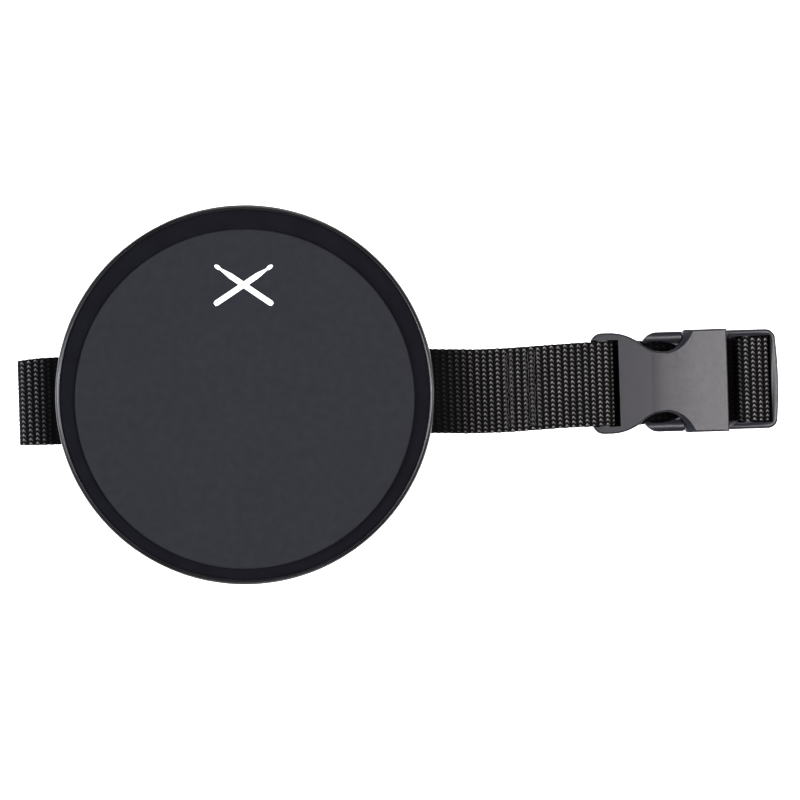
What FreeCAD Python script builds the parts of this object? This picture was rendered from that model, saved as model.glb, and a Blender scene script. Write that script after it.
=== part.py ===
import FreeCAD, Part
import Sketcher
import math
import os
import re
from types import SimpleNamespace

# Knee practice pad: a round rubber-faced pad on a saddle base, held to the leg by a webbing strap that
# closes with a side-release buckle. Millimetres, +Z up. The origin is on the resting plane, under the pad's
# centre. The strap and the buckle are drawn along X and then turned by strap_skew about Z.

V = FreeCAD.Vector

# Driving sizes. Each one is a cell of the sheet "dims", with its alias.
SIZES = [
    # pad stack, from the top down
    ("disc_thickness", 2.5), ("disc_edge_round", 0.9), ("disc_offset", 1.9), ("ring_width", 7.3),
    ("underlay_thickness", 5.0), ("underlay_edge_round", 0.4), ("board_thickness", 4.0), ("seat_gap", 0.15),
    ("pad_diameter", 168.0), ("rim_height", 12.0), ("rim_wall", 1.7), ("tray_floor", 2.2),
    ("rim_bottom_round", 3.5), ("lip_round", 0.6), ("skirt_wall", 1.8),
    # saddle base
    ("rim_overhang", 9.0), ("base_height", 20.2), ("base_wall", 2.2), ("rest_gap", 0.2),
    ("foot_width", 12.3), ("arch_crown", 3.0), ("foot_round", 0.8),
    ("cushion_thickness", 4.0), ("cushion_end_gap", 10.7), ("cushion_strap_gap", 5.0), ("cushion_inset", 7.0),
    ("glue_gap", 0.1),
    # screws
    ("boss_radius", 3.8), ("boss_inset", 4.3), ("boss_strap_gap", 8.4), ("hub_radius", 4.4),
    ("hub_inset", 20.0),
    ("screw_radius", 1.4), ("screw_head_radius", 2.6), ("screw_head_height", 2.0), ("head_recess", 4.0),
    ("screw_bite", 3.0), ("screw_gap", 0.2), ("pilot_gap", 0.05), ("drive_width", 0.9),
    ("drive_length", 3.0),
    # webbing
    ("strap_width", 38.0), ("strap_thickness", 1.6), ("strap_level", 10.1), ("strap_skew", 1.8),
    ("slot_clearance", 0.4), ("slot_side_clearance", 1.5), ("layer_gap", 0.1), ("body_gap", 0.3),
    ("fold_reach", 13.5), ("run_reach", 20.0), ("return_reach", 29.0), ("tail_reach", 12.0),
    ("buckle_reach", 70.7),
    # the webbing's lap over the socket's bar: leads are runs before a bend, bends are radii
    ("lap_lead", 2.0), ("lap_close", 1.0), ("lap_bend", 10.0), ("loop_lead", 13.0), ("loop_bend", 20.0),
    ("crest_lead", 1.0), ("crest_bend", 8.0),
    # the webbing's way over the plug's bar and down past the end bar
    ("ramp_lead", 2.0), ("ramp_bend", 12.0), ("rise_lead", 6.0), ("rise_bend", 4.5), ("brow_run", 5.5),
    ("brow_bend", 9.0), ("dive_lift", 1.2), ("dive_bend", 2.2), ("tail_bend", 2.8), ("tail_lead", 4.0),
    # stitching: two sewn rows, measured from the end of the lap's lower layer
    ("stitch_inset", 2.0), ("stitch_height", 0.35), ("near_row_start", 2.5), ("near_row_end", 6.5),
    ("far_row_start", 11.5), ("far_row_end", 18.0),
    # buckle: places are measured along the strap from the socket's end
    ("buckle_level", 9.6), ("web_side_gap", 0.4), ("fit_gap", 0.3), ("ear_wall", 3.3),
    ("ear_corner", 5.0), ("ear_arc_start", 8.1), ("ear_share", 0.488), ("waist_depth", 9.1),
    ("mouth_step", 0.35), ("mouth_wall", 2.45), ("mouth_start", 43.9), ("mouth_end", 60.9),
    ("shoulder_round", 0.8), ("plate_half_thick", 5.5), ("ear_half_thick", 3.4), ("slope_end", 40.0),
    ("cavity_half_thick", 3.2), ("cavity_start", 22.5), ("channel_start", 17.0), ("slot_end", 12.3),
    ("bar_place", 5.6), ("bar_half_width", 3.0), ("bar_half_thick", 2.1), ("buckle_round", 0.9),
    # plug and latch arms
    ("plug_length", 83.7), ("rail_width", 2.9), ("plug_half_thick", 3.6), ("plug_corner", 4.6),
    ("plug_round", 1.1), ("plug_bow", 0.8), ("end_bar_width", 3.2), ("neck_step", 0.8), ("neck_end", 64.6),
    ("neck_ramp", 0.9), ("crosshead_start", 55.0), ("crosshead_length", 5.6), ("tongue_half", 5.5),
    ("tongue_start", 20.5), ("nose_length", 3.0), ("nose_step", 2.0), ("channel_gap", 1.2),
    ("plug_bar_place", 69.9), ("plug_bar_half_width", 2.5), ("bar_anchor", 1.0),
    ("pivot_place", 56.0), ("pivot_inset", 8.55), ("pivot_radius", 2.2), ("pivot_gap", 0.15),
    ("arm_width", 2.6), ("arm_inset", 0.65), ("arm_round", 0.5), ("catch_gap", 0.4), ("tip_gap", 0.9),
    ("catch_depth", 4.4), ("catch_round", 1.2), ("stem_step", 2.2), ("stem_depth", 6.8),
]

# Places on a latch arm's crescent: how far along from its tip, and how far in from its outer face.
CRESCENT = {
    "tip": (0.0, 4.0),
    "outer_middle": (3.3, 1.3),
    "crest": (8.0, 0.0),
    "hollow_middle": (9.6, 4.3),
    "inner_end": (1.5, 5.2),
    "nose_middle": (0.3, 4.9),
}

# How far a cutting tool runs on past what it cuts, and how closely an edge is recognised.
OVERRUN = 5.0
NEAR = 0.02

doc = FreeCAD.newDocument("knee_practice_pad")
dims = doc.addObject("Spreadsheet::Sheet", "dims")
for row, (alias, number) in enumerate(SIZES, start=1):
    dims.set(f"A{row}", alias)
    dims.set(f"B{row}", str(number))
    dims.setAlias(f"B{row}", alias)
doc.recompute()
d = SimpleNamespace(**{alias: float(dims.get(alias)) for alias, _ in SIZES})

# What follows from the driving sizes, as formulas of the sheet.
PAD_RADIUS = "(pad_diameter / 2)"
BASE_RADIUS = f"({PAD_RADIUS} - rim_overhang)"
INNER_RADIUS = f"({PAD_RADIUS} - rim_wall - seat_gap)"
SKIRT_HEIGHT = "(arch_crown - base_wall - seat_gap)"
DISC_RADIUS = f"({PAD_RADIUS} - rim_wall - ring_width)"
BASE_Z = "(strap_thickness + rest_gap)"
TRAY_Z = f"({BASE_Z} + base_height)"
BOARD_Z = f"({TRAY_Z} + tray_floor)"
UNDERLAY_Z = f"({BOARD_Z} + board_thickness)"
DISC_Z = f"({UNDERLAY_Z} + underlay_thickness)"
ARCH_HEIGHT = "(base_height - arch_crown)"
ARCH_HALF = f"({BASE_RADIUS} - foot_width)"
ARCH_RADIUS = f"(({ARCH_HALF} ^ 2 + {ARCH_HEIGHT} ^ 2) / (2 * {ARCH_HEIGHT}))"
ARCH_AXIS_Z = f"({BASE_Z} + {ARCH_HEIGHT} - {ARCH_RADIUS})"
BOSS_Y = "(strap_width / 2 + boss_strap_gap)"
BOSS_X = f"sqrt(({BASE_RADIUS} - boss_inset) ^ 2 - {BOSS_Y} ^ 2)"
HUB_Y = f"({BASE_RADIUS} - hub_inset)"
SLOT_HALF = "(strap_width / 2 + web_side_gap)"
EAR_HALF = f"({SLOT_HALF} + ear_wall)"
MOUTH_HALF = f"({EAR_HALF} + mouth_step)"
PLUG_HALF = f"({SLOT_HALF} + rail_width)"
BUCKLE_X = f"({PAD_RADIUS} + buckle_reach)"
BAR_LENGTH = f"(2 * {SLOT_HALF} + bar_anchor)"
SLOPE = "(plate_half_thick - ear_half_thick) / slope_end"

pieces = []


def formula(text):
    """An expression that reads the sheet, from a text that names its sizes."""
    return re.sub(r"\b[a-z]+(_[a-z]+)+\b", r"dims.\g<0>", text)


def value(text):
    """The number that a formula gives."""
    return float(dims.evalExpression(formula(text)))


def bind(obj, formulas):
    for name, text in formulas.items():
        obj.setExpression(name, formula(text))


def keep(obj, label):
    """Names a finished sub-part."""
    obj.Label = label
    pieces.append(obj)
    return obj


def turn_with_strap(obj):
    obj.Placement.Rotation = FreeCAD.Rotation(V(0, 0, 1), d.strap_skew)
    bind(obj, {"Placement.Rotation.Angle": "strap_skew"})


# ---- outlines ----------------------------------------------------------------------------------------------

def line(a, b):
    return Part.LineSegment(V(*a, 0), V(*b, 0))


def arc(a, middle, b):
    return Part.Arc(V(*a, 0), V(*middle, 0), V(*b, 0))


def corner(a, b, centre):
    """The shorter arc from a to b round a centre."""
    c = V(*centre, 0)
    middle = (V(*a, 0) + V(*b, 0)) / 2 - c
    middle = c + middle.normalize() * (V(*a, 0) - c).Length
    return arc(a, (middle.x, middle.y), b)


def polygon(points):
    return [line(a, b) for a, b in zip(points, points[1:] + points[:1])]


def box(x0, x1, y0, y1):
    return polygon([(x0, y0), (x1, y0), (x1, y1), (x0, y1)])


def mirrored(curves):
    """The same curves on the other side of the X axis."""
    return [mirror(curve) for curve in curves]


def mirror(curve):
    a, b = curve.StartPoint, curve.EndPoint
    if isinstance(curve, Part.LineSegment):
        return line((a.x, -a.y), (b.x, -b.y))
    middle = curve.value((curve.FirstParameter + curve.LastParameter) / 2)
    return arc((a.x, -a.y), (middle.x, -middle.y), (b.x, -b.y))


def stadium(x, y, half_width, half_height):
    """A slot-shaped outline with round ends."""
    flat = half_width - half_height
    left, right = x - flat, x + flat
    return [
        line((left, y + half_height), (right, y + half_height)),
        arc((right, y + half_height), (right + half_height, y), (right, y - half_height)),
        line((right, y - half_height), (left, y - half_height)),
        arc((left, y - half_height), (left - half_height, y), (left, y + half_height)),
    ]


def ribbon(points, thickness):
    """The outline of a band of constant thickness. Its middle is straight runs joined by tangent arcs, and a
    point is (x, y) or (x, y, radius)."""
    runs = [V(p[0], p[1], 0) for p in points]
    sides = {1: [], -1: []}
    last = runs[0]

    def add_run(start, end):
        if (end - start).Length < 1e-6:
            return
        along = (end - start).normalize()
        for hand in sides:
            shift = V(-along.y, along.x, 0) * hand * thickness / 2
            sides[hand].append(Part.LineSegment(start + shift, end + shift))

    def add_bend(start, end, centre, turn):
        radius = (start - centre).Length
        middle = ((start + end) / 2 - centre).normalize()
        for hand in sides:
            grown = radius - hand * turn * thickness / 2
            a = centre + (start - centre) * (grown / radius)
            b = centre + (end - centre) * (grown / radius)
            sides[hand].append(Part.Arc(a, centre + middle * grown, b))

    for before, here, after, point in zip(runs, runs[1:], runs[2:], points[1:]):
        into = (here - before).normalize()
        out = (after - here).normalize()
        turn = 1 if into.cross(out).z > 0 else -1
        reach = point[2] * math.tan(into.getAngle(out) / 2)
        start = here - into * reach
        end = here + out * reach
        add_run(last, start)
        add_bend(start, end, start + V(-into.y, into.x, 0) * turn * point[2], turn)
        last = end
    add_run(last, runs[-1])
    ends = [Part.LineSegment(sides[1][0].StartPoint, sides[-1][0].StartPoint),
            Part.LineSegment(sides[1][-1].EndPoint, sides[-1][-1].EndPoint)]
    return sides[1] + sides[-1] + ends


# ---- PartDesign features -----------------------------------------------------------------------------------

def new_body(name, x="0", y="0", z="0"):
    body = doc.addObject("PartDesign::Body", name)
    bind(body, {"Placement.Base.x": x, "Placement.Base.y": y, "Placement.Base.z": z})
    return keep(body, name)


def sketch_on(body, name, role, curves=()):
    """A sketch on one of the body's own origin planes."""
    sketch = body.newObject("Sketcher::SketchObject", name)
    plane = next(f for f in body.Origin.OriginFeatures if f.Role == role)
    sketch.AttachmentSupport = [(plane, "")]
    sketch.MapMode = "FlatFace"
    sketch.addGeometry(list(curves))
    return sketch


def add_circle(sketch, radius, x=0.0, y=0.0):
    """A circle whose radius is a formula of the sheet."""
    index = sketch.addGeometry(Part.Circle(V(x, y, 0), V(0, 0, 1), 1.0))
    at = sketch.addConstraint(Sketcher.Constraint("Radius", index, 1.0))
    bind(sketch, {f"Constraints[{at}]": radius})


def add_outline(sketch, points):
    """A closed outline of straight lines whose corners are pairs of formulas of the sheet."""
    count = len(points)
    first = sketch.GeometryCount
    turns = [math.tau * i / count for i in range(count)]
    start = [(10.0 * math.cos(turn), 10.0 * math.sin(turn)) for turn in turns]
    sketch.addGeometry(polygon(start))
    for i, (x, y) in enumerate(points):
        here = first + i
        sketch.addConstraint(Sketcher.Constraint("Coincident", here, 1, first + (i - 1) % count, 2))
        for axis, text in (("DistanceX", x), ("DistanceY", y)):
            if text == "0":
                rail = -2 if axis == "DistanceX" else -1
                sketch.addConstraint(Sketcher.Constraint("PointOnObject", here, 1, rail))
            else:
                at = sketch.addConstraint(Sketcher.Constraint(axis, -1, 1, here, 1, 1.0))
                bind(sketch, {f"Constraints[{at}]": text})


def pad(body, sketch, length, symmetric=False):
    feature = body.newObject("PartDesign::Pad", f"{sketch.Name}_pad")
    feature.Profile = sketch
    feature.SideType = "Symmetric" if symmetric else "One side"
    bind(feature, {"Length": length})
    doc.recompute()
    return feature


def pocket(body, sketch, length=None, symmetric=False, upwards=False):
    """A pocket as deep as a formula, or through everything on both sides. It has to remove material."""
    before = body.Shape.Volume
    feature = body.newObject("PartDesign::Pocket", f"{sketch.Name}_pocket")
    feature.Profile = sketch
    feature.SideType = "Symmetric" if symmetric or not length else "One side"
    feature.Reversed = upwards
    if length:
        bind(feature, {"Length": length})
    else:
        feature.Type = "ThroughAll"
    doc.recompute()
    assert body.Shape.Volume < before - 0.01, f"{feature.Name} cuts nothing"
    return feature


def round_edges(body, base, radius, test):
    """Rounds the edges of a feature that pass a test."""
    names = [f"Edge{i}" for i, edge in enumerate(base.Shape.Edges, start=1) if test(edge)]
    feature = body.newObject("PartDesign::Fillet", f"{base.Name}_round")
    feature.Base = (base, names)
    bind(feature, {"Radius": radius})
    doc.recompute()
    return feature


def circle_edge(radius, z):
    """A test for whole circles of that radius at that height."""
    def fits(edge):
        if not isinstance(edge.Curve, Part.Circle):
            return False
        middle = (edge.BoundBox.ZMin + edge.BoundBox.ZMax) / 2
        return abs(edge.Curve.Radius - radius) < 1e-3 and abs(middle - z) < 1e-3
    return fits


# ---- Part primitives ---------------------------------------------------------------------------------------

CORNERS = [(-1, -1), (-1, 1), (1, -1), (1, 1)]
ALONG_Y = FreeCAD.Rotation(V(1, 0, 0), -90)
UPRIGHT = FreeCAD.Rotation()


def primitive(kind, name, sizes, base, rotation=UPRIGHT):
    """A Part primitive with its sizes and its base point given as formulas."""
    obj = doc.addObject(f"Part::{kind}", name)
    obj.Placement = FreeCAD.Placement(V(0, 0, 0), rotation)
    bind(obj, sizes)
    bind(obj, {f"Placement.Base.{axis}": text for axis, text in zip("xyz", base)})
    return obj


def cylinder(name, radius, height, base, rotation=UPRIGHT):
    return primitive("Cylinder", name, {"Radius": radius, "Height": height}, base, rotation)


def arch_cylinder(name, radius, length):
    """A cylinder of the leg's arch, lying along Y and centred on the XZ plane."""
    return cylinder(name, radius, length, ("0", f"-({length}) / 2", ARCH_AXIS_Z), ALONG_Y)


def fuse(name, shapes):
    obj = doc.addObject("Part::MultiFuse", name)
    obj.Shapes = shapes
    return obj


def group(name, shapes):
    obj = doc.addObject("Part::Compound", name)
    obj.Links = shapes
    return obj


def cut(name, base, tool):
    obj = doc.addObject("Part::Cut", name)
    obj.Base = base
    obj.Tool = tool
    return obj


def common(name, shapes):
    obj = doc.addObject("Part::MultiCommon", name)
    obj.Shapes = shapes
    return obj


# ---- pad stack ---------------------------------------------------------------------------------------------

def screw_places():
    """Where the screws stand: one in each of the four bosses, and one in each of the two hubs."""
    x, y, hub = value(BOSS_X), value(BOSS_Y), value(HUB_Y)
    return [(sx * x, sy * y) for sx, sy in CORNERS] + [(0.0, -hub), (0.0, hub)]


def make_strike_disc():
    body = new_body("strike_disc", y="-disc_offset", z=DISC_Z)
    sketch = sketch_on(body, "disc_circle", "XY_Plane")
    add_circle(sketch, DISC_RADIUS)
    disc = pad(body, sketch, "disc_thickness")
    round_edges(body, disc, "disc_edge_round", circle_edge(value(DISC_RADIUS), d.disc_thickness))


def make_foam_underlay():
    body = new_body("foam_underlay", z=UNDERLAY_Z)
    sketch = sketch_on(body, "underlay_circle", "XY_Plane")
    add_circle(sketch, INNER_RADIUS)
    sheet = pad(body, sketch, "underlay_thickness")
    top_edge = circle_edge(value(INNER_RADIUS), d.underlay_thickness)
    round_edges(body, sheet, "underlay_edge_round", top_edge)


def make_backing_board():
    """A fibreboard disc with blind pilot holes for all the screws in its underside."""
    body = new_body("backing_board", z=BOARD_Z)
    sketch = sketch_on(body, "board_circle", "XY_Plane")
    add_circle(sketch, INNER_RADIUS)
    pad(body, sketch, "board_thickness")
    pilots = sketch_on(body, "pilot_holes", "XY_Plane")
    for x, y in screw_places():
        add_circle(pilots, "screw_radius + pilot_gap", x, y)
    pocket(body, pilots, "screw_bite + screw_gap", upwards=True)


def make_rim_tray():
    """The moulded tray: a floor, a lip round the foam, and a ring below that centres it in the base, with
    notches where it meets the base's bosses."""
    body = new_body("rim_tray", z=TRAY_Z)
    profile = sketch_on(body, "tray_section", "XZ_Plane")
    outer = PAD_RADIUS
    lip_inner = f"{PAD_RADIUS} - rim_wall"
    ring_outer = f"{BASE_RADIUS} - base_wall - seat_gap"
    ring_inner = f"{ring_outer} - skirt_wall"
    add_outline(profile, [
        ("0", "0"), (ring_inner, "0"), (ring_inner, f"-{SKIRT_HEIGHT}"), (ring_outer, f"-{SKIRT_HEIGHT}"),
        (ring_outer, "0"), (outer, "0"), (outer, "rim_height"), (lip_inner, "rim_height"),
        (lip_inner, "tray_floor"), ("0", "tray_floor"),
    ])
    turned = body.newObject("PartDesign::Revolution", "tray_turned")
    turned.Profile = profile
    turned.ReferenceAxis = (profile, ["V_Axis"])
    doc.recompute()
    holes = sketch_on(body, "tray_screw_holes", "XY_Plane")
    for x, y in screw_places():
        add_circle(holes, "screw_radius + screw_gap", x, y)
    pocket(body, holes, "tray_floor", upwards=True)
    notches = sketch_on(body, "ring_notches", "XY_Plane")
    for x, y in screw_places()[:4]:
        add_circle(notches, "boss_radius + seat_gap", x, y)
    drilled = pocket(body, notches, SKIRT_HEIGHT)
    outer_radius = value(PAD_RADIUS)
    belly = round_edges(body, drilled, "rim_bottom_round", circle_edge(outer_radius, 0))
    lips = (circle_edge(outer_radius, d.rim_height), circle_edge(outer_radius - d.rim_wall, d.rim_height))
    round_edges(body, belly, "lip_round", lambda edge: any(test(edge) for test in lips))


# ---- saddle base -------------------------------------------------------------------------------------------

def make_base_cradle():
    """A hollow round base with an arch for the leg, four screw bosses, two hubs and a slot for the strap."""
    outside = cylinder("base_outside", BASE_RADIUS, "base_height", ("0", "0", BASE_Z))
    inside = cylinder("base_inside", f"{BASE_RADIUS} - base_wall", "base_height",
                      ("0", "0", f"{BASE_Z} + base_wall"))
    over_arch = arch_cylinder("over_arch", f"{ARCH_RADIUS} + base_wall", f"2 * {BASE_RADIUS} + {OVERRUN}")
    hollow = cut("base_hollow", inside, over_arch)
    shell = cut("base_shell", outside, hollow)
    screw_hole = "screw_radius + screw_gap"
    columns = []
    tools = [arch_cylinder("leg_arch", ARCH_RADIUS, f"2 * {BASE_RADIUS} + {OVERRUN}"), strap_slot()]
    for i, (sx, sy) in enumerate(CORNERS):
        place = (f"{sx} * {BOSS_X}", f"{sy} * {BOSS_Y}", BASE_Z)
        columns.append(cylinder(f"boss_{i}", "boss_radius", "base_height", place))
        tools.append(cylinder(f"boss_hole_{i}", screw_hole, "base_height", place))
        tools.append(cylinder(f"head_recess_{i}", "screw_head_radius + screw_gap", "head_recess", place))
    for i, side in enumerate((-1, 1)):
        place = ("0", f"{side} * {HUB_Y}", BASE_Z)
        columns.append(cylinder(f"hub_{i}", "hub_radius", "base_height", place))
        tools.append(cylinder(f"hub_hole_{i}", screw_hole, "base_height", place))
        sink_place = ("0", f"{side} * {HUB_Y}", f"{BASE_Z} + {ARCH_HEIGHT} - screw_gap")
        tools.append(primitive("Cone", f"hub_sink_{i}", {
            "Radius1": "screw_head_radius + 2 * screw_gap",
            "Radius2": screw_hole,
            "Height": "screw_head_height",
        }, sink_place))
    solid = fuse("base_with_bosses", [shell] + columns)
    moulding = cut("base_moulding", solid, fuse("base_tools", tools))
    doc.recompute()
    rounded = doc.addObject("Part::Fillet", "base_cradle")
    rounded.Base = moulding
    rounded.Edges = [(i, d.foot_round, d.foot_round) for i in outer_edges(moulding.Shape)]
    keep(rounded, "base_cradle")


def outer_edges(shape):
    """The numbers of the edges on the base's outer wall: round the feet, the arch and the strap's slots."""
    radius, top = value(BASE_RADIUS), value(TRAY_Z)
    numbers = []
    for i, edge in enumerate(shape.Edges, start=1):
        middle = edge.valueAt((edge.FirstParameter + edge.LastParameter) / 2)
        on_wall = abs(math.hypot(middle.x, middle.y) - radius) < NEAR
        seam = edge.BoundBox.ZLength > d.base_height / 4 and isinstance(edge.Curve, Part.Line)
        if on_wall and edge.BoundBox.ZMax < top - NEAR and not seam:
            numbers.append(i)
    return numbers


def strap_slot():
    """The tool that cuts the strap's slot right through both feet, along the strap's direction."""
    length = f"(2 * {BASE_RADIUS} + {OVERRUN})"
    width = "(strap_width + 2 * slot_side_clearance)"
    height = "(strap_thickness + 2 * slot_clearance)"
    slot = doc.addObject("Part::Box", "strap_slot")
    turn_with_strap(slot)
    bind(slot, {
        "Length": length,
        "Width": width,
        "Height": height,
        "Placement.Base.x": f"-{length} / 2 * cos(strap_skew) + {width} / 2 * sin(strap_skew)",
        "Placement.Base.y": f"-{length} / 2 * sin(strap_skew) - {width} / 2 * cos(strap_skew)",
        "Placement.Base.z": f"strap_level - {height} / 2",
    })
    return slot


def make_cushion(label, side):
    """A curved foam pad glued under the arch, beside the strap."""
    face = f"{ARCH_RADIUS} - glue_gap"
    outer = arch_cylinder(f"{label}_outer", face, f"2 * {BASE_RADIUS}")
    inner = arch_cylinder(f"{label}_inner", f"{face} - cushion_thickness", f"2 * {BASE_RADIUS} + {OVERRUN}")
    layer = cut(f"{label}_layer", outer, inner)
    half_length = f"({ARCH_HALF} - cushion_end_gap)"
    inner_edge = "(strap_width / 2 + cushion_strap_gap)"
    outer_edge = f"({BASE_RADIUS} - cushion_inset)"
    block = primitive("Box", f"{label}_block", {
        "Length": f"2 * {half_length}",
        "Width": f"{outer_edge} - {inner_edge}",
        "Height": "base_height",
    }, (f"-{half_length}", inner_edge if side > 0 else f"-{outer_edge}", BASE_Z))
    trim = cylinder(f"{label}_trim", f"{BASE_RADIUS} - cushion_inset / 2", "base_height", ("0", "0", BASE_Z))
    keep(common(label, [layer, block, trim]), label)


def make_foot_screws():
    """Four pan-head screws, up through the feet and the tray into the board."""
    seat = f"{BASE_Z} + head_recess"
    low = f"{seat} - screw_head_height"
    length = "base_height - head_recess + tray_floor + screw_bite"
    screws = []
    for i, (sx, sy) in enumerate(CORNERS):
        x, y = f"{sx} * {BOSS_X}", f"{sy} * {BOSS_Y}"
        head = cylinder(f"foot_head_{i}", "screw_head_radius", "screw_head_height", (x, y, low))
        shank = cylinder(f"foot_shank_{i}", "screw_radius", length, (x, y, seat))
        screws.append(driven(f"foot_screw_{i}", [head, shank], x, y, low))
    keep(group("foot_screws", screws), "foot_screws")


def make_board_screws():
    """Two countersunk screws, up through the arch and the tray into the board, hidden by the cushions."""
    low = f"{BASE_Z} + {ARCH_HEIGHT}"
    length = "arch_crown + tray_floor + screw_bite"
    screws = []
    for i, side in enumerate((-1, 1)):
        y = f"{side} * {HUB_Y}"
        head = primitive("Cone", f"board_head_{i}", {
            "Radius1": "screw_head_radius",
            "Radius2": "screw_radius",
            "Height": "screw_head_height - 2 * screw_gap",
        }, ("0", y, low))
        shank = cylinder(f"board_shank_{i}", "screw_radius", length, ("0", y, low))
        screws.append(driven(f"board_screw_{i}", [head, shank], "0", y, low))
    keep(group("board_screws", screws), "board_screws")


def driven(name, shapes, x, y, z):
    """Joins a screw's head and shank and cuts a cross recess upwards from z."""
    arms = []
    crossing = (("drive_length", "drive_width"), ("drive_width", "drive_length"))
    for axis, (length, width) in enumerate(crossing):
        arms.append(primitive("Box", f"{name}_drive_{axis}",
                              {"Length": length, "Width": width, "Height": "screw_head_height / 2"},
                              (f"{x} - {length} / 2", f"{y} - {width} / 2", z)))
    return cut(name, fuse(f"{name}_solid", shapes), fuse(f"{name}_drive", arms))


# ---- webbing -----------------------------------------------------------------------------------------------

def make_webbing(label, points):
    """A stretch of webbing: its route in the XZ plane, as wide as the strap."""
    body = new_body(label)
    turn_with_strap(body)
    sketch = sketch_on(body, f"{label}_route", "XZ_Plane", ribbon(points, d.strap_thickness))
    pad(body, sketch, "strap_width", symmetric=True)


def make_strap():
    pad_radius, buckle = value(PAD_RADIUS), value(BUCKLE_X)
    half = d.strap_thickness / 2
    step = d.strap_thickness + d.layer_gap
    left = -(pad_radius + d.fold_reach)
    run_end = pad_radius + d.run_reach
    tail_end = pad_radius + d.tail_reach
    return_end = pad_radius + d.return_reach
    fold = (d.strap_level - half) / 2
    make_webbing("strap_upper_run", [(left, d.strap_level), (run_end, d.strap_level)])
    make_webbing("strap_left_fold", [
        (left, d.strap_level), (left - fold, d.strap_level, fold), (left - fold, half, fold), (left, half),
    ])
    make_webbing("strap_floor_run", [(left, half), (pad_radius, half)])

    # The loop sewn round the socket's bar: the upper layer rises over the bar and comes back under itself.
    wrap = d.bar_half_thick + d.layer_gap + half
    bar_left = buckle + d.bar_place - d.bar_half_width
    bar_right = buckle + d.bar_place + d.bar_half_width + d.layer_gap + half
    upper = d.strap_level + step / 2
    lower = upper - step
    over_bar, under_bar = d.buckle_level + wrap, d.buckle_level - wrap
    lead, crest = bar_left - d.loop_lead, bar_left + d.crest_lead
    make_webbing("strap_socket_loop", [
        (run_end, d.strap_level), (run_end + d.lap_lead, d.strap_level, d.lap_bend),
        (return_end - d.lap_close, upper, d.lap_bend), (lead, upper, d.loop_bend),
        (crest, over_bar, d.crest_bend), (bar_right, over_bar, wrap), (bar_right, under_bar, wrap),
        (crest, under_bar, d.crest_bend), (lead, lower, d.loop_bend), (return_end, lower),
    ])

    # The adjuster's end: the loaded run comes up over the plug's bar and the tail goes back underneath.
    load = half + step
    start = pad_radius + d.body_gap
    over = buckle + d.plug_bar_place - d.plug_bar_half_width - d.layer_gap - half
    dive = buckle + d.plug_length - d.end_bar_width - d.fit_gap - d.layer_gap - half
    rise_start, tail_start = over - d.rise_lead, dive - d.tail_lead
    make_webbing("strap_adjuster_run", [
        (start, half), (start + d.ramp_lead, half, d.ramp_bend),
        (tail_end - d.ramp_lead, load, d.ramp_bend), (rise_start, load),
    ])
    make_webbing("strap_adjuster_wrap", [
        (rise_start, load), (over, load, d.rise_bend), (over, over_bar, wrap),
        (over + d.brow_run, over_bar, d.brow_bend), (dive, d.buckle_level + d.dive_lift, d.dive_bend),
        (dive, half, d.tail_bend), (tail_start, half),
    ])
    make_webbing("strap_tail", [(tail_start, half), (tail_end, half)])

    # Two sewn rows across the loop, standing proud above and below its two layers.
    bars = []
    rows = ((d.near_row_start, d.near_row_end), (d.far_row_start, d.far_row_end))
    for i, (row_start, row_end) in enumerate(rows):
        for side, z in (("top", upper + half), ("under", lower - half - d.stitch_height)):
            bar = doc.addObject("Part::Box", f"stitch_{side}_{i}")
            place = V(return_end + row_start, d.stitch_inset - d.strap_width / 2, z)
            bar.Placement = FreeCAD.Placement(place, UPRIGHT)
            bar.Length = row_end - row_start
            bind(bar, {"Width": "strap_width - 2 * stitch_inset", "Height": "stitch_height"})
            bars.append(bar)
    turn_with_strap(keep(group("bar_tack_stitches", bars), "bar_tack_stitches"))


# ---- buckle ------------------------------------------------------------------------------------------------

def buckle_body(label):
    """A body whose origin is at the buckle's end of the strap, at mid-thickness."""
    body = new_body(label, f"{BUCKLE_X} * cos(strap_skew)", f"{BUCKLE_X} * sin(strap_skew)", "buckle_level")
    turn_with_strap(body)
    return body


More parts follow.
